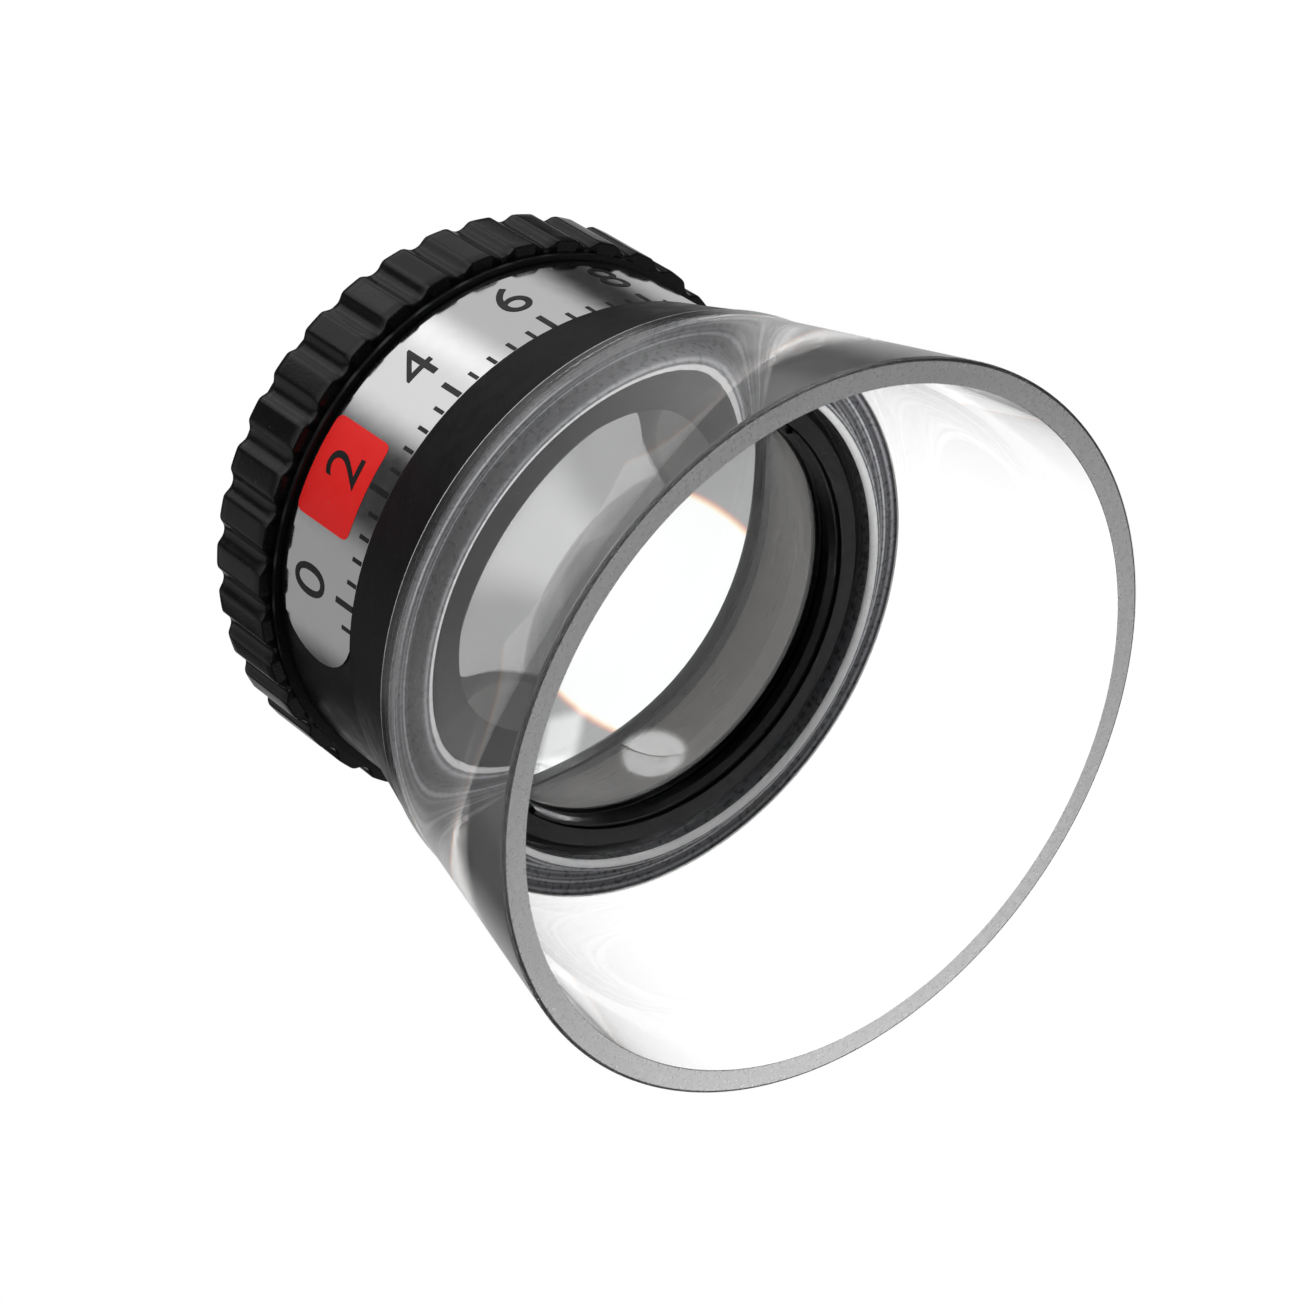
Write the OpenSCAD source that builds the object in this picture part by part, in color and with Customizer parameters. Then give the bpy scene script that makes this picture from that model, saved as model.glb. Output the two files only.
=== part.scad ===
// Focusing eye loupe standing on the rim of its clear skirt.
// The origin is the centre of the rim's flat face and +Z points to the eye.
// The eyepiece screws up out of the barrel on a three-start thread to focus.

/* [Skirt] */
// Outer diameter of the clear skirt at its rim
rim_d = 38; // [35:0.5:42]
// Wall of the skirt at its rim
rim_wall = 1.3; // [0.9:0.1:1.8]
// Height of the skirt's cone below its neck
cone_h = 13; // [10:0.5:17]
// Height of the neck above the cone
neck_h = 1.5; // [1.2:0.1:2]
// Wall of the skirt at its neck
neck_wall = 1; // [0.8:0.1:1.3]
// Thickness of the inward flange bonded into the barrel
flange_t = 1.05; // [0.8:0.05:1.3]
// Depth of the lip that hangs from the flange's bore
lip_h = 1.1; // [0.8:0.1:1.4]
// Wall of that lip
lip_t = 0.6; // [0.4:0.05:0.8]
// Bevel round the outer edge of the rim
rim_bevel = 0.25; // [0.1:0.05:0.4]

/* [Barrel] */
// Height of the flared band above the skirt
band_h = 4.9; // [3.5:0.1:6.5]
// Height of the recess that the label lies in
label_h = 6.7; // [5.5:0.1:8]
// Height of the ridge above the label
ridge_h = 0.35; // [0.25:0.05:0.6]
// Wall of the barrel behind the label
barrel_wall = 1.15; // [0.8:0.05:1.6]
// Depth of the label recess
label_depth = 0.45; // [0.25:0.05:0.6]
// How far the band flares out from its top to its foot
band_flare = 1.3; // [0.8:0.1:1.8]

/* [Label] */
// Thickness of the foil
foil_t = 0.12; // [0.08:0.02:0.2]
// Angle that the foil covers between the centres of its round ends
foil_angle = 200; // [120:2:300]
// Bearing of the middle of the foil, seen from the eye
foil_mid = -28; // [-180:1:180]
// Margin of bare barrel above and below the foil
foil_margin = 0.15; // [0.1:0.05:0.4]

/* [Focusing ring] */
// Height of the fluted ring
grip_h = 4.3; // [3.5:0.1:6]
// Outer diameter over the ribs of the fluted ring
grip_d = 30.4; // [30.2:0.1:32]
// Number of flutes round the ring
flutes = 36; // [24:1:48]
// Radius of each flute
flute_r = 0.8; // [0.7:0.05:1.1]
// Depth of each flute
flute_depth = 0.35; // [0.25:0.05:0.45]
// Bevel round the ring's eye-side edge
grip_bevel = 0.3; // [0.1:0.05:0.5]
// Wall of the ring round the cap, over its ribs
grip_wall = 1.85; // [1.5:0.05:2]
// Height of the ring's foot that grips the tube
foot_h = 1.2; // [1:0.1:1.6]
// Gap under the ring when the eyepiece is screwed right down
rest_gap = 0.15; // [0.1:0.05:0.4]

/* [Thread] */
// Rise of the eyepiece for one full turn
lead = 3; // [2.4:0.1:3.6]
// Number of starts
starts = 3; // [3:1:4]
// Height of the thread's ribs
thread_depth = 0.55; // [0.4:0.05:0.6]
// Length of thread on the tube
thread_l = 2.4; // [1.8:0.1:2.4]
// Travel of the eyepiece from bottom to top
travel = 2.5; // [1.8:0.1:2.6]

/* [Lenses] */
// Diameter of the field lens
field_d = 22.9; // [20:0.1:24]
// Radius of curvature of the field lens
field_curve = 21; // [19:0.5:25]
// Thickness of the field lens at its edge
field_edge = 1.25; // [1:0.05:1.4]
// Diameter of the eye lens
eye_d = 22; // [21:0.1:22.2]
// Radius of curvature of the eye lens
eye_curve = 21; // [19:0.5:25]
// Thickness of the eye lens at its edge
eye_edge = 1.25; // [1:0.05:1.4]
// Air gap between the two domes
lens_gap = 1.4; // [1:0.1:1.8]
// Width of the flat land round each dome
lens_land = 0.35; // [0.25:0.05:0.4]
// Thickness of the shims that the lenses seat on
shim_t = 0.3; // [0.2:0.05:0.4]

/* [Eyepiece] */
// Wall of the lens tube round the field lens
tube_wall = 0.9; // [0.8:0.05:1.1]
// Thickness of the tube's web under the eye lens
web_under_t = 0.8; // [0.6:0.1:1.2]
// Height of the eye cap above the ring
cap_h = 1.4; // [1.1:0.1:2]
// Outer diameter of the eye cap
cap_d = 28; // [27.8:0.1:29]
// Diameter of the sight hole at the foot of the cap
sight_d = 21.6; // [20.4:0.1:22.4]
// Diameter of the dish at the top of the cap
cup_d = 26; // [25:0.1:26.2]
// Radius of the cap's rounded lip
cap_round = 0.8; // [0.5:0.1:0.8]

/* [Hidden] */
$fn = 128;
eps = 0.02;
step_deg = 10;

// Clearances
lens_fit = 0.05;
slide_fit = 0.06;
thread_fit = 0.1;
press_gap = 0.03;
bond_gap = 0.05;

// Radii from the lens outwards
field_r = field_d / 2;
eye_r = eye_d / 2;
tube_in_r = field_r + lens_fit;
tube_r = tube_in_r + tube_wall;
waist_r = field_r - lens_land - 0.15;
pilot_r = tube_r + slide_fit;
thread_crest_r = tube_r + thread_depth;
thread_minor_r = tube_r + thread_fit;
thread_major_r = thread_crest_r + thread_fit;
guide_r = thread_major_r;
chamber_r = guide_r + press_gap;
felt_r = thread_major_r + 0.25;
seat_r = thread_major_r + barrel_wall;
band_r = seat_r + label_depth;
flare_r = band_r + band_flare;
neck_r = flare_r + 0.25;
rim_r = rim_d / 2;
neck_in_r = neck_r - neck_wall;
rim_in_r = rim_r - rim_wall;

// Heights of the standing parts
seat_z = cone_h + neck_h;
flange_low_z = seat_z - 0.2;
flange_top_z = flange_low_z + flange_t;
flange_r = neck_in_r - 0.2;
lip_in_r = chamber_r - 0.1;
lip_z = flange_low_z - lip_h;
band_z = seat_z + band_h;
label_z = band_z + label_h;
top_z = label_z + ridge_h;
felt_h = 0.9;
felt_z = top_z - felt_h;

// Ring that guides the tube, screwed in under the stop ring
guide_z = flange_low_z + 0.5;
guide_top_z = flange_top_z + 1;
notch_w = 1.2;

// Heights of the eyepiece, screwed right down
tube_z = lip_z + 0.7;
retainer_z = tube_z + 0.2;
retainer_t = 0.85;
field_z = retainer_z + retainer_t;
land_z = field_z + field_edge;
shoulder_z = land_z + shim_t;
field_sag = sag(field_curve, field_r - lens_land);
eye_sag = sag(eye_curve, eye_r - lens_land);
eye_land_z = land_z + field_sag + lens_gap + eye_sag;
eye_shoulder_z = eye_land_z - shim_t;
web_z = eye_shoulder_z - web_under_t;
throat_r = eye_r - lens_land;
eye_flat_z = eye_land_z + eye_edge;
eye_retainer_t = 1.1;
retainer_lip = 0.9;
eye_retainer_r = eye_r + 0.45;
eye_retainer_z = eye_flat_z;
ring_z = top_z + rest_gap;
grip_z = ring_z + grip_h;
tube_top_z = ring_z + foot_h;
grip_r = grip_d / 2;
cap_body_r = grip_r - grip_wall;
cap_top_z = grip_z + cap_h;
cap_r = cap_d / 2;

// Stop ring in its groove, and the barrel shoulder that it meets
stop_t = 0.5;
stop_z = guide_top_z + 0.2;
stop_in_r = tube_r - 0.35;
stop_out_r = chamber_r - 0.12;
groove_fit = 0.04;
shoulder_stop_z = stop_z + stop_t + travel + groove_fit;
stop_split = 36;

// Thread ribs: widths across the root and the crest, along the axis
pitch = lead / starts;
rib_root = 0.66 * pitch;
rib_crest = 0.3 * pitch;
thread_z = shoulder_stop_z + rib_root / 2;

function sag(curve, r) = curve - sqrt(curve * curve - r * r);
function corner(cx, cz, r, from, to, n) =
  [for (i = [0:n]) let (a = from + (to - from) * i / n) [cx + r * cos(a), cz + r * sin(a)]];
function helix_point(r, z, a) = [r * cos(a), r * sin(a), z];

// One helical rib of trapezoid section, from height z0 and angle a0 upwards
module helix_rib(r_root, r_crest, w_root, w_crest, z0, length, a0) {
  turn = 360 * length / lead;
  n = ceil(turn / step_deg);
  pts = [for (i = [0:n]) let (a = a0 + turn * i / n, z = z0 + length * i / n)
    each [helix_point(r_root, z - w_root / 2, a), helix_point(r_crest, z - w_crest / 2, a),
          helix_point(r_crest, z + w_crest / 2, a), helix_point(r_root, z + w_root / 2, a)]];
  sides = [for (i = [0:n - 1], k = [0:3]) let (a = 4 * i + k, b = 4 * i + (k + 1) % 4)
    each [[a, b, b + 4], [a, b + 4, a + 4]]];
  ends = [[0, 3, 2, 1], [4 * n, 4 * n + 1, 4 * n + 2, 4 * n + 3]];
  polyhedron(points = pts, faces = concat(sides, ends));
}

// Two opposite slots for a pin spanner, cut down from height z
module spanner_slots(z, depth, r_in, r_out) {
  for (a = [0, 180]) rotate([0, 0, a])
    translate([r_in, -notch_w / 2, z]) cube([r_out - r_in, notch_w, depth]);
}

module ring(r_in, r_out, z0, h) {
  difference() {
    translate([0, 0, z0]) cylinder(h = h, r = r_out);
    translate([0, 0, z0 - 1]) cylinder(h = h + 2, r = r_in);
  }
}

module clear_skirt() {
  fillet = 0.3;
  lip_round = lip_t / 2;
  color([0.86, 0.88, 0.9, 0.4]) rotate_extrude() polygon(concat(
    [[rim_in_r, 0], [rim_r - rim_bevel, 0], [rim_r, rim_bevel], [neck_r, cone_h],
     [flare_r + 0.05, seat_z], [flange_r, seat_z], [flange_r, flange_top_z],
     [lip_in_r, flange_top_z]],
    corner(lip_in_r + lip_round, lip_z + lip_round, lip_round, 180, 360, 10),
    [[lip_in_r + lip_t, flange_low_z]],
    corner(neck_in_r - fillet, flange_low_z - fillet, fillet, 90, 0, 6)));
}

module barrel() {
  bevel = 0.12;
  color([0.09, 0.09, 0.1]) difference() {
    rotate_extrude() polygon([
      [chamber_r, flange_top_z + bond_gap], [flange_r + bond_gap, flange_top_z + bond_gap],
      [flange_r + bond_gap, seat_z], [flare_r, seat_z], [band_r, band_z - bevel], [band_r - bevel, band_z],
      [seat_r, band_z], [seat_r, label_z], [band_r, label_z], [band_r, top_z - bevel],
      [band_r - bevel, top_z], [felt_r, top_z], [felt_r, felt_z], [thread_minor_r, felt_z],
      [thread_minor_r, shoulder_stop_z], [chamber_r, shoulder_stop_z]]);
    for (s = [0:starts - 1])
      helix_rib(thread_minor_r - thread_fit, thread_major_r, rib_root + 2 * thread_fit,
                rib_crest + 2 * thread_fit, thread_z - lead, felt_z - thread_z + 2 * lead,
                360 * s / starts - 360);
  }
}

module guide_ring() {
  bevel = 0.15;
  color([0.13, 0.13, 0.14]) difference() {
    rotate_extrude() polygon([
      [pilot_r + bevel, guide_z], [lip_in_r - press_gap, guide_z],
      [lip_in_r - press_gap, flange_top_z + bond_gap], [guide_r, flange_top_z + bond_gap],
      [guide_r, guide_top_z], [pilot_r, guide_top_z], [pilot_r, guide_z + bevel]]);
    spanner_slots(guide_z - eps, 0.3, pilot_r - 1, guide_r + 1);
  }
}

module label_foil() {
  foil_h = label_h - 2 * foil_margin;
  mid_z = band_z + label_h / 2;
  color([0.78, 0.79, 0.8]) difference() {
    ring(seat_r, seat_r + foil_t, band_z + foil_margin, foil_h);
    difference() {
      rotate([0, 0, foil_mid + foil_angle / 2]) rotate_extrude(angle = 360 - foil_angle)
        translate([seat_r - 1, band_z - 1]) square([3, label_h + 2]);
      for (a = [-1, 1]) rotate([0, 0, foil_mid + a * foil_angle / 2])
        translate([seat_r - 2, 0, mid_z]) rotate([0, 90, 0]) cylinder(h = 5, r = foil_h / 2 + 0.05);
    }
  }
}

module damping_ring() {
  color([0.2, 0.19, 0.18]) ring(tube_r + press_gap, felt_r - press_gap, felt_z, felt_h - 0.1);
}

module stop_ring() {
  color([0.55, 0.56, 0.58]) difference() {
    ring(stop_in_r + press_gap, stop_out_r, stop_z, stop_t);
    rotate([0, 0, -stop_split / 2]) rotate_extrude(angle = stop_split)
      translate([stop_in_r - 1, stop_z - 1]) square([3, stop_t + 2]);
  }
}

module lens_tube() {
  color([0.07, 0.07, 0.08]) {
    difference() {
      union() {
        translate([0, 0, tube_z]) cylinder(h = tube_top_z - tube_z, r = tube_r);
        for (s = [0:starts - 1])
          helix_rib(tube_r - thread_fit, thread_crest_r, rib_root, rib_crest,
                    thread_z, thread_l, 360 * s / starts);
      }
      rotate_extrude() polygon([
        [0, tube_z - 1], [tube_in_r, tube_z - 1], [tube_in_r, web_z], [throat_r, web_z],
        [throat_r, eye_shoulder_z], [eye_r + lens_fit, eye_shoulder_z],
        [eye_r + lens_fit, eye_flat_z - 0.2], [eye_retainer_r + lens_fit, eye_flat_z - 0.2],
        [eye_retainer_r + lens_fit, tube_top_z + 1], [0, tube_top_z + 1]]);
      ring(stop_in_r, tube_r + 1, stop_z - groove_fit, stop_t + 2 * groove_fit);
    }
  }
}

module lens_spacer() {
  color([0.5, 0.5, 0.5]) rotate_extrude() polygon([
    [waist_r, shoulder_z], [field_r, shoulder_z], [field_r, web_z], [throat_r, web_z],
    [waist_r, land_z + field_sag - 0.4]]);
}

module focus_ring() {
  foot_bevel = 0.12;
  color([0.1, 0.1, 0.11]) difference() {
    rotate_extrude() polygon([
      [tube_r + press_gap, ring_z], [grip_r - foot_bevel, ring_z], [grip_r, ring_z + foot_bevel],
      [grip_r, grip_z - grip_bevel], [grip_r - grip_bevel, grip_z],
      [cap_body_r + lens_fit, grip_z], [cap_body_r + lens_fit, tube_top_z],
      [tube_r + press_gap, tube_top_z]]);
    for (i = [0:flutes - 1]) rotate([0, 0, 360 * (i + 0.5) / flutes])
      translate([grip_r - flute_depth + flute_r, 0, ring_z - 1]) cylinder(h = grip_h + 2, r = flute_r, $fn = 24);
  }
}

module eye_cap() {
  cup_r = cup_d / 2;
  sight_r = sight_d / 2;
  bore_h = 0.6;
  color([0.08, 0.08, 0.09]) rotate_extrude() polygon(concat(
    [[sight_r, tube_top_z], [cap_body_r, tube_top_z], [cap_body_r, grip_z], [cap_r, grip_z]],
    corner(cap_r - cap_round, cap_top_z - cap_round, cap_round, 0, 90, 8),
    [[cup_r, cap_top_z], [sight_r, tube_top_z + bore_h]]));
}

module eye_lens_retainer() {
  color([0.12, 0.12, 0.13]) difference() {
    ring(eye_r - retainer_lip, eye_retainer_r, eye_retainer_z, eye_retainer_t);
    spanner_slots(eye_retainer_z + eye_retainer_t / 2, eye_retainer_t, eye_r - retainer_lip - 1,
                  eye_retainer_r + 1);
  }
}

module eye_lens() {
  color([0.8, 0.88, 0.9, 0.35]) {
    translate([0, 0, eye_land_z]) cylinder(h = eye_edge, r = eye_r);
    intersection() {
      translate([0, 0, eye_land_z - eye_sag + eye_curve]) sphere(r = eye_curve);
      translate([0, 0, eye_land_z - eye_sag - 1]) cylinder(h = eye_sag + 1, r = eye_r);
    }
  }
}

module eye_lens_shim() {
  color([0.15, 0.15, 0.16]) ring(eye_r - lens_land, eye_r, eye_shoulder_z, shim_t);
}

module field_lens() {
  color([0.8, 0.88, 0.9, 0.35]) {
    translate([0, 0, field_z]) cylinder(h = field_edge, r = field_r);
    intersection() {
      translate([0, 0, land_z + field_sag - field_curve]) sphere(r = field_curve);
      translate([0, 0, land_z]) cylinder(h = field_sag + 1, r = field_r);
    }
  }
}

module field_lens_shim() {
  color([0.15, 0.15, 0.16]) ring(field_r - lens_land, field_r, land_z, shim_t);
}

module field_lens_retainer() {
  lip_r = field_r - 0.35;
  bevel = 0.35;
  color([0.12, 0.12, 0.13]) difference() {
    rotate_extrude() polygon([
      [lip_r + bevel / 2, retainer_z], [field_r, retainer_z], [field_r, field_z],
      [lip_r, field_z], [lip_r, retainer_z + bevel]]);
    spanner_slots(retainer_z - eps, retainer_t / 3, lip_r - 1, field_r + 1);
  }
}

clear_skirt();
barrel();
guide_ring();
label_foil();
damping_ring();
stop_ring();
lens_tube();
focus_ring();
eye_cap();
eye_lens_retainer();
eye_lens();
eye_lens_shim();
lens_spacer();
field_lens();
field_lens_shim();
field_lens_retainer();
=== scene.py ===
import math

import bmesh
import bpy
from mathutils import Matrix, Vector


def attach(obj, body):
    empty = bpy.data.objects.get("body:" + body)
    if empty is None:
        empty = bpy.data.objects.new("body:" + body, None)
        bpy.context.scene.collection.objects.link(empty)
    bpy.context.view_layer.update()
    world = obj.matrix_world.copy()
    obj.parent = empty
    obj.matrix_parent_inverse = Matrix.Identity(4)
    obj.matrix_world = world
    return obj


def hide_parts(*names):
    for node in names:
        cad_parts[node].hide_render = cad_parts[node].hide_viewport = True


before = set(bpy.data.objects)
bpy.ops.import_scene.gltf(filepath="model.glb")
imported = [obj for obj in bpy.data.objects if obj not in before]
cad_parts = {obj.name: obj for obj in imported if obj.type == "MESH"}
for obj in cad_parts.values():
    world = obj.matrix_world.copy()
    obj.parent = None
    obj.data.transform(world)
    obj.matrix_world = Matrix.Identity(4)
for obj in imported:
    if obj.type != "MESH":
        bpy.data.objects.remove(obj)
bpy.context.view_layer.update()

MM = 0.001

# The camera as fitted to the photo: pixels, radians, and millimetres in front of the camera
FOCAL_PX = 4200
FRAME_PX = 1302
SENSOR_W = 36
TILT = 0.79906
ROLL = 0.59592
RIM_CENTRE = Vector((8.652, 4.008, 197.223))

# Sizes of the CAD pieces in millimetres
RIM_R, RIM_IN_R = 19.0, 17.7
CONE_H, NECK_R, NECK_IN_R = 13.0, 16.2, 15.2
SEAT_Z, FLARE_R = 14.5, 15.95
FLANGE_R, FLANGE_LOW_Z, FLANGE_TOP_Z = 15.0, 14.3, 15.35
LIP_IN_R, LIP_T, LIP_Z = 12.98, 0.6, 13.2
FOIL_R, FOIL_OUT_R = 14.2, 14.32
FOIL_LOW_Z, FOIL_TOP_Z = 19.55, 25.95
FOIL_MID, FOIL_ANGLE = -28, 200
GRIP_R, GRIP_LOW_Z, GRIP_TOP_Z = 15.2, 26.6, 30.9
FLUTES, FLUTE_R, FLUTE_DEPTH = 36, 0.8, 0.35
TUBE_R, TUBE_TOP_Z, CAP_BODY_R = 12.4, 27.8, 13.35
FIELD_R, FIELD_Z, FIELD_EDGE, FIELD_CURVE = 11.45, 14.95, 1.25, 21.0
EYE_R, EYE_EDGE, EYE_CURVE = 11.0, 1.25, 21.0
LENS_LAND, LENS_GAP = 0.35, 1.4
CAP_R, CUP_R, SIGHT_R, CAP_TOP_Z, CAP_ROUND = 14.0, 13.0, 10.8, 32.3, 0.8

# The printed scale: bearings in degrees, sizes, heights and lifts off the foil in millimetres
NUMBERS, NUMBER_FIRST, NUMBER_STEP = 5, 236, 24
NUMBER_H, NUMBER_Z, NUMBER_LIFT = 2.6, 23.4, 0.02
TICKS, TICK_STEP, TICK_LOW_Z, TICK_LIFT = 25, 4.8, 19.75, 0.016
LONG_TICK_W, LONG_TICK_Z = 0.32, 21.2
SHORT_TICK_W, SHORT_TICK_Z = 0.22, 20.5
BLOCK_AT, BLOCK_W, BLOCK_CORNER, BLOCK_LIFT = 258, 5.2, 0.5, 0.012
BLOCK_LOW_Z, BLOCK_TOP_Z = 21.3, 25.8

# Looks of the skirt's faces, in the order in which its mesh holds them. Three are painted light: the
# hanging lip and the line at the seat edge are painted highlights, and the glued faces carry painted
# reflection.
CLEAR, CUT, LIP_PAINTED_HIGHLIGHT, GLUED_PAINTED_REFLECTION, EDGE_PAINTED_HIGHLIGHT = range(5)

ACRYLIC_IOR, GLASS_IOR = 1.49, 1.517

# Distances and sizes of the lamps in metres
LAMP_FAR, LAMP_SIZE = 0.35, 0.2
UNDER_FAR, UNDER_SIZE = 0.07, 0.04
LAMPS_AIM_Z = 0.016


def sag(curve, r):
    """How deep a lens's dome is at a radius."""
    return curve - math.sqrt(curve * curve - r * r)


FIELD_LAND_Z = FIELD_Z + FIELD_EDGE
FIELD_TOP_Z = FIELD_LAND_Z + sag(FIELD_CURVE, FIELD_R - LENS_LAND)
EYE_LOW_Z = FIELD_TOP_Z + LENS_GAP
EYE_LAND_Z = EYE_LOW_Z + sag(EYE_CURVE, EYE_R - LENS_LAND)
EYE_FLAT_Z = EYE_LAND_Z + EYE_EDGE


# Node trees and materials

class Nodes:
    """A shading tree that is built up step by step."""

    def __init__(self, tree, coordinates):
        self.tree = tree
        self.place = tree.nodes.new("ShaderNodeTexCoord").outputs[coordinates]

    def node(self, kind, **settings):
        made = self.tree.nodes.new(kind)
        for name, value in settings.items():
            setattr(made, name, value)
        return made

    def join(self, source, socket):
        self.tree.links.new(source, socket)

    def give(self, socket, value):
        """Sets a socket to a number, or joins it to another node."""
        if isinstance(value, (int, float)):
            socket.default_value = value
        else:
            self.join(value, socket)

    def math(self, operation, first, second=0.0):
        made = self.node("ShaderNodeMath", operation=operation)
        self.give(made.inputs[0], first)
        self.give(made.inputs[1], second)
        return made.outputs["Value"]

    def ramp(self, source, low, high, from_value, to_value, kind="LINEAR"):
        ranged = self.node("ShaderNodeMapRange", interpolation_type=kind)
        ranged.inputs["From Min"].default_value = low
        ranged.inputs["From Max"].default_value = high
        ranged.inputs["To Min"].default_value = from_value
        ranged.inputs["To Max"].default_value = to_value
        self.join(source, ranged.inputs["Value"])
        return ranged.outputs["Result"]


class Surface(Nodes):
    """A material whose patterns lie on its own piece."""

    def __init__(self, name, base, roughness, metallic=0.0):
        self.material = bpy.data.materials.new(name)
        self.material.use_nodes = True
        super().__init__(self.material.node_tree, "Object")
        self.shader = self.tree.nodes["Principled BSDF"]
        self.shader.inputs["Base Color"].default_value = (*base, 1)
        self.shader.inputs["Roughness"].default_value = roughness
        self.shader.inputs["Metallic"].default_value = metallic

    def noise(self, scale, detail=4.0, stretch=(1, 1, 1)):
        mapping = self.node("ShaderNodeMapping")
        mapping.inputs["Scale"].default_value = stretch
        self.join(self.place, mapping.inputs["Vector"])
        noise = self.node("ShaderNodeTexNoise")
        noise.inputs["Scale"].default_value = scale
        noise.inputs["Detail"].default_value = detail
        self.join(mapping.outputs["Vector"], noise.inputs["Vector"])
        return noise.outputs["Fac"]

    def rings(self, spacing):
        """Rings about the axis, at a spacing in millimetres."""
        wave = self.node("ShaderNodeTexWave", wave_type="RINGS", rings_direction="Z")
        wave.inputs["Scale"].default_value = math.pi / (10 * spacing * MM)
        self.join(self.place, wave.inputs["Vector"])
        return wave.outputs["Fac"]

    def colour(self, factor, first, second):
        mix = self.node("ShaderNodeMix", data_type="RGBA")
        mix.inputs[6].default_value = (*first, 1)
        mix.inputs[7].default_value = (*second, 1)
        self.join(factor, mix.inputs[0])
        self.join(mix.outputs[2], self.shader.inputs["Base Color"])

    def bump(self, height, strength, distance):
        bump = self.node("ShaderNodeBump")
        bump.inputs["Strength"].default_value = strength
        bump.inputs["Distance"].default_value = distance
        self.join(height, bump.inputs["Height"])
        self.join(bump.outputs["Normal"], self.shader.inputs["Normal"])

    def rough(self, source):
        self.join(source, self.shader.inputs["Roughness"])


def black_plastic(name, base, rough_low, rough_high, grain):
    """Black plastic with fine grain and paler dusty specks."""
    made = Surface(name, base, rough_low)
    made.rough(made.ramp(made.noise(900), 0.35, 0.65, rough_low, rough_high))
    made.shader.inputs["Specular IOR Level"].default_value = 0.3
    specks = made.ramp(made.noise(5200, 2), 0.69, 0.75, 0, 1)
    made.colour(specks, base, tuple(c * 2.5 + 0.01 for c in base))
    made.bump(made.noise(6500, 3), grain, 0.00002)
    return made.material


def clear_acrylic():
    """Clear plastic with a trace of haze and fine scratches."""
    made = Surface("clear_acrylic", (1, 1, 1), 0.0)
    made.shader.inputs["Transmission Weight"].default_value = 0.97
    made.shader.inputs["IOR"].default_value = ACRYLIC_IOR
    made.rough(made.ramp(made.noise(2500, 6), 0.64, 0.85, 0.0, 0.1))
    return made.material


def worked_acrylic_and_painted_highlight(name, pale, dark, clear, speck_low):
    """Sawn or rounded clear plastic: paler and milkier, with tiny chips. Made white and nearly or wholly
    opaque, the same look is painted highlight instead: the white hanging lip, and the bright line at the
    seat edge broken by dark specks.
    """
    made = Surface(name, pale, 0.3)
    made.shader.inputs["Transmission Weight"].default_value = clear
    made.shader.inputs["IOR"].default_value = ACRYLIC_IOR
    made.colour(made.ramp(made.noise(34000, 0), speck_low, speck_low + 0.05, 0, 1), pale, dark)
    made.rough(made.ramp(made.noise(3000, 4), 0.35, 0.7, 0.22, 0.45))
    return made.material


def bonded_acrylic_painted_reflection():
    """Turned and glued faces round the flange: fine turning rings between pale and dark. The grey and the
    pale rings are painted reflection and painted glints, standing in for the black seat seen through the
    clear flange.
    """
    made = Surface("bonded_acrylic_painted_reflection", (0.6, 0.6, 0.63), 0.3)
    made.shader.inputs["Transmission Weight"].default_value = 0.2
    made.shader.inputs["IOR"].default_value = ACRYLIC_IOR
    coarse, fine = made.rings(0.62), made.rings(0.23)
    made.colour(made.math("MULTIPLY", coarse, fine), (0.15, 0.15, 0.16), (0.95, 0.95, 1.0))
    made.rough(made.ramp(made.noise(3000, 4), 0.35, 0.7, 0.22, 0.45))
    return made.material


def grey_sleeve():
    """Turned grey sleeve with faint rings round its bore."""
    made = Surface("grey_sleeve", (0.36, 0.345, 0.33), 0.34, metallic=0.6)
    made.rough(made.ramp(made.noise(500, 3, (1, 1, 12)), 0.3, 0.7, 0.26, 0.42))
    made.bump(made.noise(700, 3, (0.2, 0.2, 9)), 0.05, 0.00002)
    return made.material


def lens_glass(name, tint):
    """Polished glass with a few soft smears."""
    made = Surface(name, tint, 0.0)
    made.shader.inputs["Transmission Weight"].default_value = 1.0
    made.shader.inputs["IOR"].default_value = GLASS_IOR
    made.rough(made.ramp(made.noise(2600, 4), 0.7, 0.85, 0.0, 0.05))
    return made.material


def foil_metal():
    """Mirror-like foil, a little wavy from being pressed onto the barrel."""
    made = Surface("silver_foil", (0.86, 0.86, 0.87), 0.1, metallic=1.0)
    made.rough(made.ramp(made.noise(1400, 4), 0.35, 0.7, 0.07, 0.15))
    made.bump(made.noise(420, 2), 0.25, 0.00005)
    return made.material


def print_ink(name, base):
    """Printing ink with small worn spots."""
    made = Surface(name, base, 0.4)
    worn = made.ramp(made.noise(4000, 4), 0.68, 0.78, 0, 1)
    made.colour(worn, base, tuple(c * 0.7 + 0.06 for c in base))
    made.rough(made.ramp(made.noise(1500), 0.3, 0.7, 0.32, 0.46))
    return made.material


def bright_steel():
    """Drawn spring wire, dulled unevenly."""
    made = Surface("bright_steel", (0.56, 0.56, 0.57), 0.25, metallic=1.0)
    made.rough(made.ramp(made.noise(3000), 0.3, 0.7, 0.2, 0.38))
    return made.material


def greased_felt():
    """Dark felt with greasy, shinier patches."""
    made = Surface("greased_felt", (0.04, 0.038, 0.035), 0.8)
    made.bump(made.noise(9000, 5), 0.8, 0.00006)
    made.rough(made.ramp(made.noise(2500), 0.3, 0.7, 0.55, 0.9))
    return made.material


# Shapes

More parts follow.
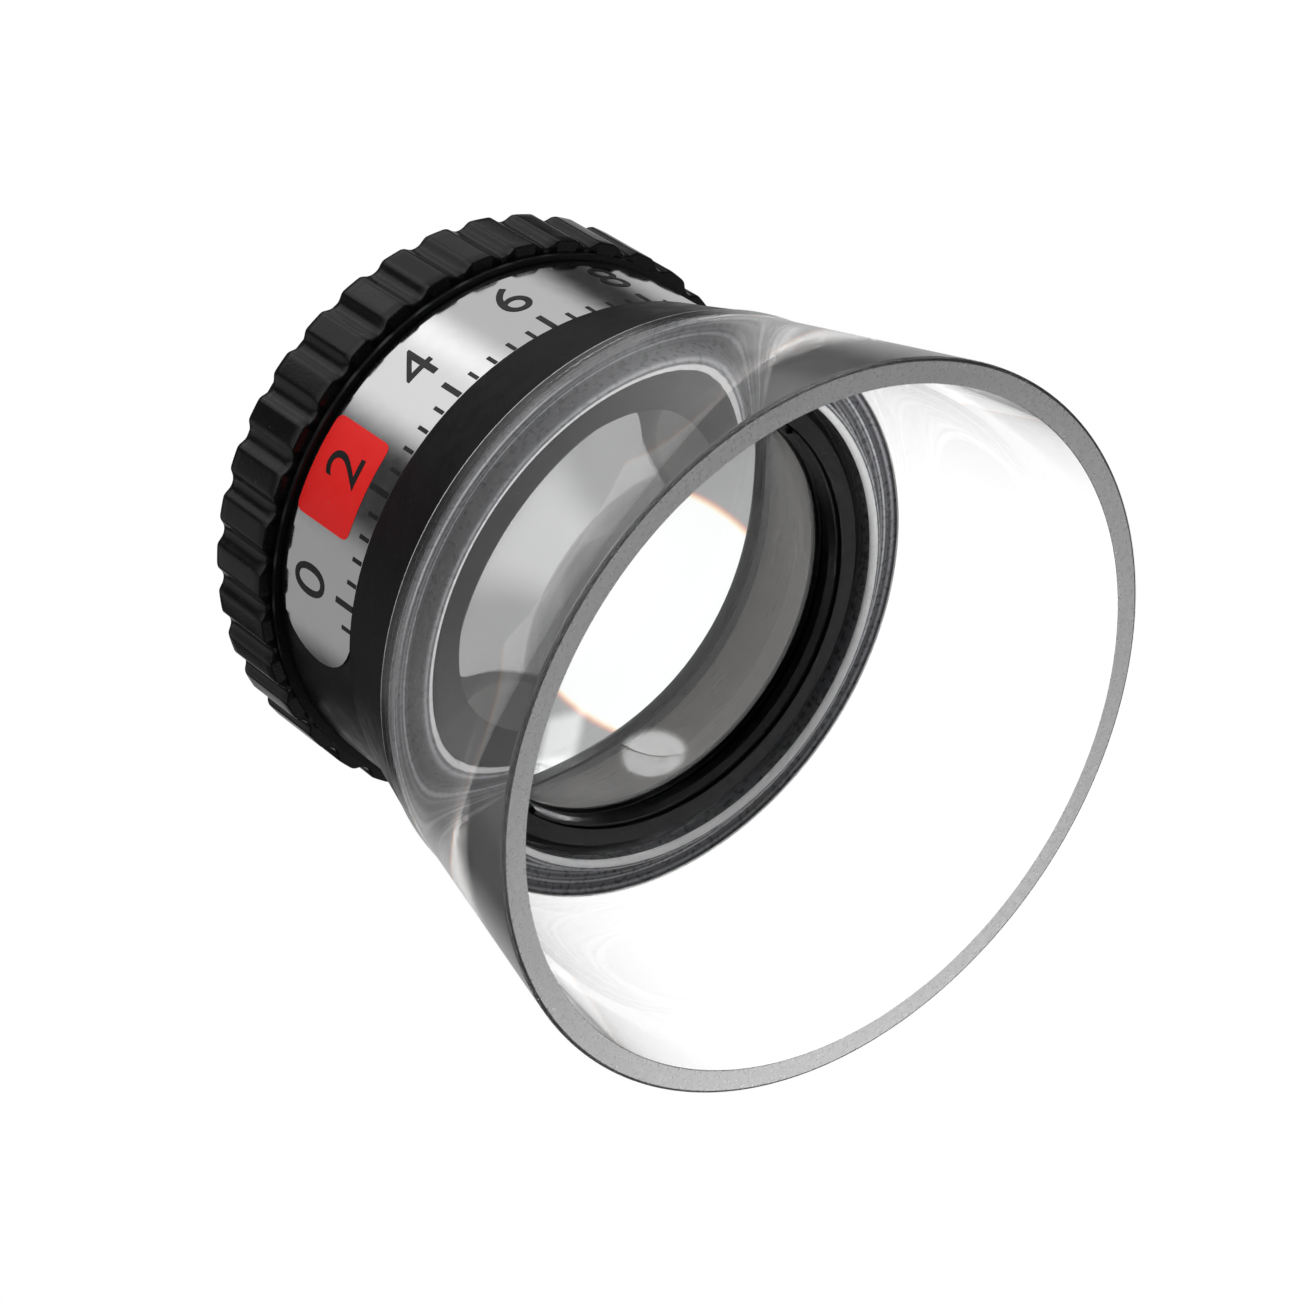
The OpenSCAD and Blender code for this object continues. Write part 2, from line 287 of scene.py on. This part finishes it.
def at(r, angle, z):
    """A place in metres from a radius and a height in millimetres and an angle in radians."""
    return (r * MM * math.cos(angle), r * MM * math.sin(angle), z * MM)


def smoothed(mesh, degrees=30):
    """Smooth shading that keeps edges sharper than the angle."""
    mesh.shade_smooth()
    mesh.set_sharp_from_angle(angle=math.radians(degrees))


def to_object(name, bm, material):
    """Makes an object of a finished shape, with its faces outwards."""
    bmesh.ops.recalc_face_normals(bm, faces=bm.faces)
    mesh = bpy.data.meshes.new(name)
    bm.to_mesh(mesh)
    bm.free()
    smoothed(mesh)
    mesh.materials.append(material)
    made = bpy.data.objects.new(name, mesh)
    bpy.context.scene.collection.objects.link(made)
    return made


def rounded(points, radius, steps=5):
    """Turns each corner of a closed outline into an arc, as far as its sides allow."""
    out = []
    count = len(points)
    straight = math.radians(88)
    for i in range(count):
        here = Vector(points[i])
        before = Vector(points[i - 1]) - here
        after = Vector(points[(i + 1) % count]) - here
        half = before.angle(after) / 2
        r = radius[i] if isinstance(radius, (list, tuple)) else radius
        reach = min(r / math.tan(half), before.length * 0.45, after.length * 0.45)
        if r <= 0 or half > straight:
            out.append(tuple(here))
            continue
        first = here + before.normalized() * reach
        last = here + after.normalized() * reach
        for k in range(steps + 1):
            t = k / steps
            out.append(tuple(first * (1 - t) ** 2 + here * 2 * t * (1 - t) + last * t ** 2))
    return out


def turned(name, outline, material, segments=192):
    """Turns an outline of (radius, height) points in millimetres about the axis."""
    bm = bmesh.new()
    on_axis = 1e-6
    angles = [2 * math.pi * k / segments for k in range(segments)]
    rings = []
    for r, z in outline:
        if r < on_axis:
            rings.append([bm.verts.new((0, 0, z * MM))])
        else:
            rings.append([bm.verts.new(at(r, a, z)) for a in angles])
    for low, high in zip(rings, rings[1:] + rings[:1]):
        for k in range(segments):
            n = (k + 1) % segments
            if len(low) == 1 and len(high) == 1:
                break
            if len(low) == 1:
                bm.faces.new((low[0], high[n], high[k]))
            elif len(high) == 1:
                bm.faces.new((low[k], low[n], high[0]))
            else:
                bm.faces.new((low[k], low[n], high[n], high[k]))
    return to_object(name, bm, material)


def arc(centre_r, centre_z, radius, first, last, steps):
    """Points of an arc in an outline, from one angle in degrees to another."""
    angles = [math.radians(first + (last - first) * k / steps) for k in range(steps + 1)]
    return [(centre_r + radius * math.cos(a), centre_z + radius * math.sin(a)) for a in angles]


def skirt_look(r, z, flat):
    """The look of a face of the skirt, from the radius and height of its middle."""
    near, fillet, painted_highlight_band = 0.01, 0.1, 0.13
    if flat and z < near:
        return CUT
    # The hanging lip: opaque white as a painted highlight on clear plastic
    if r < LIP_IN_R + LIP_T / 2 and z < LIP_Z + LIP_T:
        return LIP_PAINTED_HIGHLIGHT
    # Glued faces of the flange and the seat: grey painted reflection with pale rings as painted glints
    if r < NECK_IN_R - near and LIP_Z < z < FLANGE_LOW_Z + 3 * near:
        return GLUED_PAINTED_REFLECTION
    if FLANGE_R - fillet < r < FLARE_R - 2 * near and z > SEAT_Z - near:
        return GLUED_PAINTED_REFLECTION
    # A thin band just under the seat edge: a painted highlight line
    if r > FLARE_R - fillet and SEAT_Z - painted_highlight_band < z < SEAT_Z - near:
        return EDGE_PAINTED_HIGHLIGHT
    return CLEAR


def skirt_piece(looks):
    """The flared skirt with its glued flange, hanging lip and cut rim face. The flange's faces carry
    painted reflection, and the lip and a thin line at the seat edge carry painted highlight.
    """
    lip_round = LIP_T / 2
    neck_round = 0.3
    seat_edge_r = FLARE_R + 0.05
    corners = [(RIM_IN_R, 0), (RIM_R, 0), (NECK_R, CONE_H), (seat_edge_r, SEAT_Z),
               (FLANGE_R, SEAT_Z), (FLANGE_R, FLANGE_TOP_Z), (LIP_IN_R, FLANGE_TOP_Z)]
    roundings = [0.07, 0.22, 0.5, 0.1, 0, 0.05, 0.05]
    outline = rounded(corners, roundings, 8)
    outline += arc(LIP_IN_R + lip_round, LIP_Z + lip_round, lip_round, 180, 360, 16)
    outline += [(LIP_IN_R + LIP_T, FLANGE_LOW_Z)]
    outline += arc(NECK_IN_R - neck_round, FLANGE_LOW_Z - neck_round, neck_round, 90, 0, 8)
    made = turned("clear_skirt_shell", outline, looks[CLEAR], 256)
    for look in looks[CUT:]:
        made.data.materials.append(look)
    for face in made.data.polygons:
        middle = face.center / MM
        flat = abs(face.normal.z) > 0.9
        face.material_index = skirt_look(math.hypot(middle.x, middle.y), middle.z, flat)
    return made


def lens_piece(name, land_z, flat_z, r, curve, up, material):
    """A plano-convex lens with a land round its dome and small edge bevels."""
    dome_r = r - LENS_LAND
    half = math.degrees(math.asin(dome_r / curve))
    side = 1 if up else -1
    centre = land_z - side * curve * math.cos(math.radians(half))
    steps = 48
    dome = []
    for k in range(steps + 1):
        a = math.radians(half * k / steps)
        dome.append((curve * math.sin(a), centre + side * curve * math.cos(a)))
    bevel = 0.08
    edge = [(r - bevel, land_z), (r, land_z - side * bevel),
            (r, flat_z + side * bevel), (r - bevel, flat_z), (0, flat_z)]
    return turned(name, dome + edge, material, 256)


def repeat_round():
    """Node tree that repeats a piece about the axis, from a first bearing in equal steps."""
    tree = bpy.data.node_groups.new("repeat_round", "GeometryNodeTree")
    sockets = (("Piece", "Geometry"), ("Count", "Int"), ("First bearing", "Float"), ("Step", "Float"),
               ("Weld distance", "Float"), ("Material", "Material"))
    for name, kind in sockets:
        tree.interface.new_socket(name, in_out="INPUT", socket_type="NodeSocket" + kind)
    tree.interface.new_socket("Pieces", in_out="OUTPUT", socket_type="NodeSocketGeometry")

    def node(kind, links=(), **settings):
        made = tree.nodes.new(kind)
        for name, value in settings.items():
            setattr(made, name, value)
        for socket, source in links:
            tree.links.new(source, made.inputs[socket])
        return made

    given = node("NodeGroupInput").outputs
    points = node("GeometryNodePoints", [("Count", given["Count"])])
    index = node("GeometryNodeInputIndex")
    counted = [(0, index.outputs[0]), (1, given["Step"]), (2, given["First bearing"])]
    bearing = node("ShaderNodeMath", counted, operation="MULTIPLY_ADD")
    turn = node("FunctionNodeAxisAngleToRotation", [("Angle", bearing.outputs[0])])
    turn.inputs["Axis"].default_value = (0, 0, 1)
    links = [("Points", points.outputs[0]), ("Instance", given["Piece"]), ("Rotation", turn.outputs[0])]
    placed = node("GeometryNodeInstanceOnPoints", links)
    real = node("GeometryNodeRealizeInstances", [(0, placed.outputs[0])])
    links = [("Geometry", real.outputs[0]), ("Distance", given["Weld distance"])]
    welded = node("GeometryNodeMergeByDistance", links)
    links = [("Geometry", welded.outputs[0]), ("Material", given["Material"])]
    dressed = node("GeometryNodeSetMaterial", links)
    node("NodeGroupOutput", [(0, dressed.outputs[0])])
    return tree


REPEAT_ROUND = repeat_round()


def repeated(name, bm, count, first, step, material):
    """Runs the repeating tree on a piece and keeps the result as a plain mesh."""
    source = to_object(name + "_source", bm, material)
    modifier = source.modifiers.new("repeat_round", "NODES")
    modifier.node_group = REPEAT_ROUND
    weld = 0.000001
    wanted = {"Count": count, "First bearing": math.radians(first), "Step": math.radians(step),
              "Weld distance": weld, "Material": material}
    for socket in REPEAT_ROUND.interface.items_tree:
        if socket.name in wanted:
            modifier[socket.identifier] = wanted[socket.name]
    bpy.context.view_layer.update()
    finished = source.evaluated_get(bpy.context.evaluated_depsgraph_get())
    mesh = bpy.data.meshes.new_from_object(finished)
    source.modifiers.remove(modifier)
    bpy.data.objects.remove(source)
    whole = bmesh.new()
    whole.from_mesh(mesh)
    bpy.data.meshes.remove(mesh)
    return to_object(name, whole, material)


def fluted_ring(material):
    """The focusing ring: one rib with softened edges, repeated round the axis."""
    steps = 24
    straight_steps = 6
    fit = 0.03
    cap_fit = 0.05
    centre = GRIP_R - FLUTE_DEPTH + FLUTE_R
    half = math.pi / FLUTES
    angles = [2 * half * i / steps for i in range(steps + 1)]
    raw = []
    for i in range(steps):
        a = abs(angles[i] - half)
        off = centre * math.sin(a)
        reach = centre * math.cos(a) - math.sqrt(FLUTE_R ** 2 - off ** 2) if off < FLUTE_R else GRIP_R
        raw.append(min(GRIP_R, reach))
    softening = [1, 4, 6, 4, 1]
    outer = []
    for i in range(steps):
        nearby = sum(weight * raw[(i + j - 2) % steps] for j, weight in enumerate(softening))
        outer.append(nearby / sum(softening))
    outer.append(outer[0])
    # Each level is how far the ribs are drawn in, and a height
    levels = [(0.1, GRIP_LOW_Z), (0.03, GRIP_LOW_Z + 0.04), (0.0, GRIP_LOW_Z + 0.12)]
    for k in range(1, straight_steps):
        levels.append((0.0, GRIP_LOW_Z + (GRIP_TOP_Z - GRIP_LOW_Z) * k / straight_steps))
    levels += [(0.0, GRIP_TOP_Z - 0.3), (0.06, GRIP_TOP_Z - 0.16), (0.16, GRIP_TOP_Z - 0.06)]
    levels += [(0.3, GRIP_TOP_Z)]
    rows = [([r - inset for r in outer], z) for inset, z in levels]
    inner = [(CAP_BODY_R + cap_fit, GRIP_TOP_Z), (CAP_BODY_R + cap_fit, TUBE_TOP_Z),
             (TUBE_R + fit, TUBE_TOP_Z), (TUBE_R + fit, GRIP_LOW_Z)]
    rows += [([r] * (steps + 1), z) for r, z in inner]
    bm = bmesh.new()
    rings = []
    for radii, z in rows:
        rings.append([bm.verts.new(at(r, a, z)) for r, a in zip(radii, angles)])
    for low, high in zip(rings, rings[1:] + rings[:1]):
        for k in range(steps):
            bm.faces.new((low[k], low[k + 1], high[k + 1], high[k]))
    return repeated("focus_ring_fluted", bm, FLUTES, 0, 360 / FLUTES, material)


def foil_piece(material):
    """The foil band with round ends, with a front, a back and an edge all round."""
    columns, rows = 240, 16
    back_r = FOIL_R + 0.01
    half_h = (FOIL_TOP_Z - FOIL_LOW_Z) / 2
    mid_z = (FOIL_TOP_Z + FOIL_LOW_Z) / 2
    bm = bmesh.new()
    sides = []
    for radius in (FOIL_OUT_R, back_r):
        grid = []
        for j in range(rows + 1):
            t = -math.cos(math.pi * j / rows)
            round_end = math.degrees(half_h * math.sqrt(max(0.0, 1 - t * t)) / FOIL_R)
            half = FOIL_ANGLE / 2 + round_end
            row = []
            for i in range(columns + 1):
                a = math.radians(FOIL_MID + half * (2 * i / columns - 1))
                row.append(bm.verts.new(at(radius, a, mid_z + half_h * t)))
            grid.append(row)
        for j in range(rows):
            for i in range(columns):
                bm.faces.new((grid[j][i], grid[j][i + 1], grid[j + 1][i + 1], grid[j + 1][i]))
        sides.append(grid)
    front, back = sides
    edge = [(0, i) for i in range(columns)] + [(j, columns) for j in range(rows)]
    edge += [(rows, i) for i in range(columns, 0, -1)] + [(j, 0) for j in range(rows, 0, -1)]
    for (j, i), (m, n) in zip(edge, edge[1:] + edge[:1]):
        bm.faces.new((front[j][i], front[m][n], back[m][n], back[j][i]))
    return to_object("label_foil_band", bm, material)


def wrapped(name, bm, bearing, z, material, lift):
    """Cuts a flat drawing into strips and lays it on the foil round its bearing."""
    reach, strip = 8.0, 0.3
    cut = -reach
    while cut < reach:
        parts = list(bm.verts) + list(bm.edges) + list(bm.faces)
        bmesh.ops.bisect_plane(bm, geom=parts, plane_co=(cut * MM, 0, 0), plane_no=(1, 0, 0))
        cut += strip
    radius = (FOIL_OUT_R + lift) * MM
    for vert in bm.verts:
        a = math.radians(bearing) + vert.co.x / radius
        vert.co = (radius * math.cos(a), radius * math.sin(a), z * MM + vert.co.y)
    made = to_object(name, bm, material)
    face_outwards(made)
    return made


def face_outwards(made):
    """Turns a single-sided print so that its faces look away from the axis."""
    mesh = made.data
    bm = bmesh.new()
    bm.from_mesh(mesh)
    for face in bm.faces:
        centre = face.calc_center_median()
        if face.normal.x * centre.x + face.normal.y * centre.y < 0:
            face.normal_flip()
    bm.to_mesh(mesh)
    bm.free()
    smoothed(mesh)


def printed_number(text, bearing, material):
    """A number of the scale, upright on the foil."""
    capital_share = 0.7
    curve = bpy.data.curves.new("digit", "FONT")
    curve.body = text
    curve.size = NUMBER_H * MM / capital_share
    curve.align_x = "CENTER"
    curve.align_y = "CENTER"
    curve.resolution_u = 6
    source = bpy.data.objects.new("digit", curve)
    bpy.context.scene.collection.objects.link(source)
    mesh = bpy.data.meshes.new_from_object(source)
    bm = bmesh.new()
    bm.from_mesh(mesh)
    bpy.data.objects.remove(source)
    bpy.data.meshes.remove(mesh)
    bmesh.ops.triangulate(bm, faces=bm.faces)
    return wrapped("print_number_" + text, bm, bearing, NUMBER_Z, material, NUMBER_LIFT)


def printed_block(name, material):
    """The coloured block behind a number, with rounded corners."""
    half, height = BLOCK_W / 2, BLOCK_TOP_Z - BLOCK_LOW_Z
    points = rounded([(-half, 0), (half, 0), (half, height), (-half, height)], BLOCK_CORNER)
    bm = bmesh.new()
    bm.faces.new([bm.verts.new((x * MM, y * MM, 0)) for x, y in points])
    bmesh.ops.triangulate(bm, faces=bm.faces)
    return wrapped(name, bm, BLOCK_AT, BLOCK_LOW_Z, material, BLOCK_LIFT)


def printed_ticks(name, width, high_z, count, first, step, material):
    """One printed line of the scale, repeated round the foil."""
    radius = FOIL_OUT_R + TICK_LIFT
    half = width / 2 / radius
    bm = bmesh.new()
    corners = [(-half, TICK_LOW_Z), (half, TICK_LOW_Z), (half, high_z), (-half, high_z)]
    bm.faces.new([bm.verts.new(at(radius, a, z)) for a, z in corners])
    made = repeated(name, bm, count, first, step, material)
    face_outwards(made)
    return made


def cap_piece(material):
    """The open dish at the eye end with its rounded lip."""
    sight_edge = 0.6
    outline = [(SIGHT_R, TUBE_TOP_Z), (CAP_BODY_R, TUBE_TOP_Z)]
    outline += [(CAP_BODY_R, GRIP_TOP_Z), (CAP_R, GRIP_TOP_Z)]
    outline += arc(CAP_R - CAP_ROUND, CAP_TOP_Z - CAP_ROUND, CAP_ROUND, 0, 90, 12)
    dish = [(CUP_R, CAP_TOP_Z), (SIGHT_R, TUBE_TOP_Z + sight_edge), (SIGHT_R, TUBE_TOP_Z)]
    roundings = [0.15, 0.3, 0]
    outline += rounded(dish, roundings)[:-1]
    return turned("eye_cap_dish", outline, material, 256)


# Looks of each piece

acrylic = clear_acrylic()
cut_face = worked_acrylic_and_painted_highlight("cut_acrylic", (0.9, 0.9, 0.9), (0.6, 0.6, 0.58), 0.55, 0.79)
# Painted highlight: the clear lip is made opaque white to stand for a bright band of light in it
lip_painted_highlight = worked_acrylic_and_painted_highlight("lip_acrylic_painted_highlight", (1.0, 1.0, 1.0), (0.85, 0.85, 0.85), 0.0, 0.8)
# Painted reflection: grey with pale rings as painted glints, where the black seat shows through clear
# plastic
glued_painted_reflection = bonded_acrylic_painted_reflection()
# Painted highlight: a white line along the seat edge, broken by dark specks to stand for glints
edge_painted_highlight = worked_acrylic_and_painted_highlight("edge_acrylic_painted_highlight", (1.0, 1.0, 1.0), (0.2, 0.2, 0.2), 0.1, 0.62)
sleeve = grey_sleeve()
glass = lens_glass("lens_glass", (0.985, 0.99, 0.99))
satin = black_plastic("black_satin", (0.006, 0.006, 0.007), 0.3, 0.42, 0.35)
moulded = black_plastic("black_moulded", (0.006, 0.006, 0.006), 0.14, 0.26, 0.4)
gloss = black_plastic("black_gloss", (0.006, 0.006, 0.007), 0.12, 0.22, 0.12)
foil = foil_metal()
black_ink = print_ink("black_ink", (0.006, 0.006, 0.006))
red_ink = print_ink("red_ink", (0.78, 0.012, 0.01))
steel = bright_steel()
felt = greased_felt()
shim = black_plastic("shim_film", (0.02, 0.02, 0.02), 0.5, 0.7, 0.2)

cad_looks = {
    "barrel": satin, "guide_ring": gloss, "lens_spacer": sleeve, "damping_ring": felt, "stop_ring": steel,
    "lens_tube": gloss, "eye_lens_retainer": gloss, "field_lens_retainer": gloss,
    "eye_lens_shim": shim, "field_lens_shim": shim}
for node, look in cad_looks.items():
    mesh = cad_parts[node].data
    mesh.materials.clear()
    mesh.materials.append(look)

skirt = skirt_piece([acrylic, cut_face, lip_painted_highlight, glued_painted_reflection, edge_painted_highlight])
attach(skirt, "stand")
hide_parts("clear_skirt")

field_lens = lens_piece("field_lens_glass", FIELD_LAND_Z, FIELD_Z, FIELD_R, FIELD_CURVE, True, glass)
eye_lens = lens_piece("eye_lens_glass", EYE_LAND_Z, EYE_FLAT_Z, EYE_R, EYE_CURVE, False, glass)
for made, node in ((field_lens, "field_lens"), (eye_lens, "eye_lens")):
    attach(made, "eyepiece")
    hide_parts(node)

ring = fluted_ring(moulded)
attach(ring, "eyepiece")
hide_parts("focus_ring")

cap = cap_piece(satin)
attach(cap, "eyepiece")
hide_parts("eye_cap")

band = foil_piece(foil)
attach(band, "stand")
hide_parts("label_foil")

prints = [printed_block("print_red_block", red_ink)]
for k in range(NUMBERS):
    prints.append(printed_number(str(2 * k), NUMBER_FIRST + NUMBER_STEP * k, black_ink))
prints.append(printed_ticks("print_long_ticks", LONG_TICK_W, LONG_TICK_Z,
                            NUMBERS, NUMBER_FIRST, NUMBER_STEP, black_ink))
prints.append(printed_ticks("print_short_ticks", SHORT_TICK_W, SHORT_TICK_Z,
                            TICKS, NUMBER_FIRST - TICK_STEP, TICK_STEP, black_ink))
for piece in prints:
    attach(piece, "stand")


# Floor, light and camera

def studio_floor():
    """A pale floor that is seen from above only."""
    half_size, drop = 0.6, 0.00002
    bm = bmesh.new()
    bmesh.ops.create_grid(bm, x_segments=1, y_segments=1, size=half_size)
    mesh = bpy.data.meshes.new("studio_floor")
    bm.to_mesh(mesh)
    bm.free()
    made = bpy.data.objects.new("studio_floor", mesh)
    bpy.context.scene.collection.objects.link(made)
    made.location.z = -drop
    surface = Surface("studio_floor", (0.86, 0.86, 0.86), 0.7)
    surface.colour(surface.noise(60), (0.87, 0.87, 0.87), (0.85, 0.85, 0.85))
    clear = surface.node("ShaderNodeBsdfTransparent")
    path = surface.node("ShaderNodeLightPath")
    side = surface.node("ShaderNodeNewGeometry")
    mix = surface.node("ShaderNodeMixShader")
    front = surface.math("SUBTRACT", 1.0, side.outputs["Backfacing"])
    seen = surface.math("MULTIPLY", front, path.outputs["Is Camera Ray"])
    surface.join(seen, mix.inputs[0])
    surface.join(clear.outputs[0], mix.inputs[1])
    surface.join(surface.shader.outputs[0], mix.inputs[2])
    surface.join(mix.outputs[0], surface.tree.nodes["Material Output"].inputs["Surface"])
    mesh.materials.append(surface.material)


class Studio(Nodes):
    """The world: white to the camera, with one set of boards for gloss and one behind glass."""

    def __init__(self):
        world = bpy.data.worlds.new("studio")
        world.use_nodes = True
        bpy.context.scene.world = world
        super().__init__(world.node_tree, "Generated")
        self.back = self.tree.nodes["Background"]

    def along(self, direction):
        """How far a direction of sight goes along the given one."""
        made = self.node("ShaderNodeVectorMath", operation="DOT_PRODUCT")
        self.join(self.place, made.inputs[0])
        made.inputs[1].default_value = direction
        return made.outputs["Value"]

    def fade(self, source, full, gone):
        """One at the first value, nothing at the second, and smooth between."""
        return self.ramp(source, full, gone, 1.0, 0.0, "SMOOTHSTEP")

    def board(self, direction, width, height, edge, amount):
        """A rectangular board: half sizes and soft edge as tangents of their angles."""
        ahead = Vector(direction).normalized()
        level = Vector((0, 0, 1)).cross(ahead).normalized()
        nearly_behind = 0.001
        depth = self.math("MAXIMUM", self.along(ahead), nearly_behind)
        aside = self.math("DIVIDE", self.along(level), depth)
        out = self.fade(self.math("ABSOLUTE", aside), width, width + edge)
        rise = self.math("DIVIDE", self.along(ahead.cross(level)), depth)
        out = self.math("MULTIPLY", out, self.fade(self.math("ABSOLUTE", rise), height, height + edge))
        return self.math("MULTIPLY", out, amount)

    def disc(self, direction, full, gone, amount):
        """A round lamp with a soft edge: its full and gone are cosines from its middle."""
        near = self.along(Vector(direction).normalized())
        return self.math("MULTIPLY", self.fade(near, full, gone), amount)

    def boards(self, base, rows):
        """A plain level with boards added: direction, half width, half height, edge, amount."""
        total = base
        for row in rows:
            total = self.math("ADD", total, self.board(*row))
        return total

    def mix(self, factor, first, second):
        made = self.node("ShaderNodeMix", data_type="FLOAT")
        self.join(factor, made.inputs[0])
        self.give(made.inputs[2], first)
        self.give(made.inputs[3], second)
        return made.outputs[0]


def studio_world():
    studio = Studio()
    gloss_level, glass_level = 0.04, 0.45
    foil_boards = [((0.32, -0.63, 0.70), 0.16, 0.26, 0.25, 0.75),
                   ((0.66, -0.20, 0.70), 0.24, 0.24, 0.25, 0.50),
                   ((-0.68, -0.24, 0.70), 0.22, 0.24, 0.25, 0.28)]
    ring_boards = [((0.0, 0.78, 0.62), 0.55, 0.20, 0.30, 0.45),
                   ((0.0, -0.94, 0.30), 0.60, 0.20, 0.30, 0.80)]
    rim_boards = [((0.0, 0.68, -0.73), 0.45, 0.35, 0.50, 0.22),
                  ((0.88, -0.25, -0.40), 0.15, 0.12, 0.20, 2.5)]
    in_gloss = studio.boards(gloss_level, foil_boards + ring_boards + rim_boards)
    glint = studio.disc((0.81, -0.30, -0.50), 1.0, 0.945, 26.0)
    path = studio.node("ShaderNodeLightPath")
    colour = studio.node("ShaderNodeCombineColor")
    # The bright window is a little wider in red than in blue, which gives it a coloured edge
    for channel, width in enumerate((0.348, 0.34, 0.335)):
        window = ((0.0, 0.60, 0.80), width, 0.90, 0.03, 0.75)
        below_window = ((0.46, 0.42, 0.78), 0.10, 0.05, 0.06, 0.50)
        sleeve_light = ((0.0, 0.63, -0.78), 0.12, 0.12, 0.30, 0.40)
        through = studio.boards(glass_level, [window, below_window, sleeve_light])
        behind_glass = studio.math("ADD", through, glint)
        seen = studio.mix(path.outputs["Is Transmission Ray"], in_gloss, behind_glass)
        seen = studio.mix(path.outputs["Is Camera Ray"], seen, 1.0)
        studio.join(seen, colour.inputs[channel])
    studio.join(colour.outputs[0], studio.back.inputs["Color"])


def softbox(name, direction, distance, size, watts):
    """A square lamp that points at the loupe and isn't seen in gloss or glass."""
    lamp = bpy.data.lights.new(name, "AREA")
    lamp.shape = "RECTANGLE"
    lamp.size = size
    lamp.size_y = size
    lamp.energy = watts
    made = bpy.data.objects.new(name, lamp)
    bpy.context.scene.collection.objects.link(made)
    toward = Vector(direction).normalized()
    made.location = Vector((0, 0, LAMPS_AIM_Z)) + toward * distance
    made.rotation_euler = toward.to_track_quat("Z", "Y").to_euler()
    made.visible_camera = False
    made.visible_glossy = False
    made.visible_transmission = False


def photo_camera():
    """The camera of the photo, placed from the tilt and roll of the loupe's axis in it."""
    axis = Vector((math.sin(TILT) * math.cos(ROLL), math.sin(TILT) * math.sin(ROLL), -math.cos(TILT)))
    right = axis.cross(Vector((0, 0, 1))).normalized()
    down = axis.cross(right)
    turn = Matrix((right, -down, -axis)).transposed()
    flip = Matrix.Diagonal((1, -1, -1))
    to_camera = (flip @ turn).to_4x4()
    to_camera.translation = flip @ (RIM_CENTRE * MM)
    data = bpy.data.cameras.new("photo_camera")
    data.sensor_width = SENSOR_W
    data.lens = FOCAL_PX * SENSOR_W / FRAME_PX
    data.clip_start = 0.01
    made = bpy.data.objects.new("photo_camera", data)
    bpy.context.scene.collection.objects.link(made)
    made.matrix_world = to_camera.inverted()
    bpy.context.scene.camera = made


studio_floor()
studio_world()
softbox("key_softbox", (0.665, -0.39, 0.66), LAMP_FAR, LAMP_SIZE, 0.4)
softbox("front_softbox", (0.25, -0.95, -0.15), LAMP_FAR, LAMP_SIZE, 0.6)
softbox("under_softbox", (-0.45, 0.50, -0.75), UNDER_FAR, UNDER_SIZE, 0.034)
softbox("top_softbox", (-0.5, 0.2, 0.85), LAMP_FAR, LAMP_SIZE, 0.4)
photo_camera()

scene = bpy.context.scene
scene.view_settings.view_transform = "Standard"
scene.cycles.max_bounces = 24
scene.cycles.transmission_bounces = 24
scene.cycles.glossy_bounces = 8
scene.cycles.transparent_max_bounces = 16
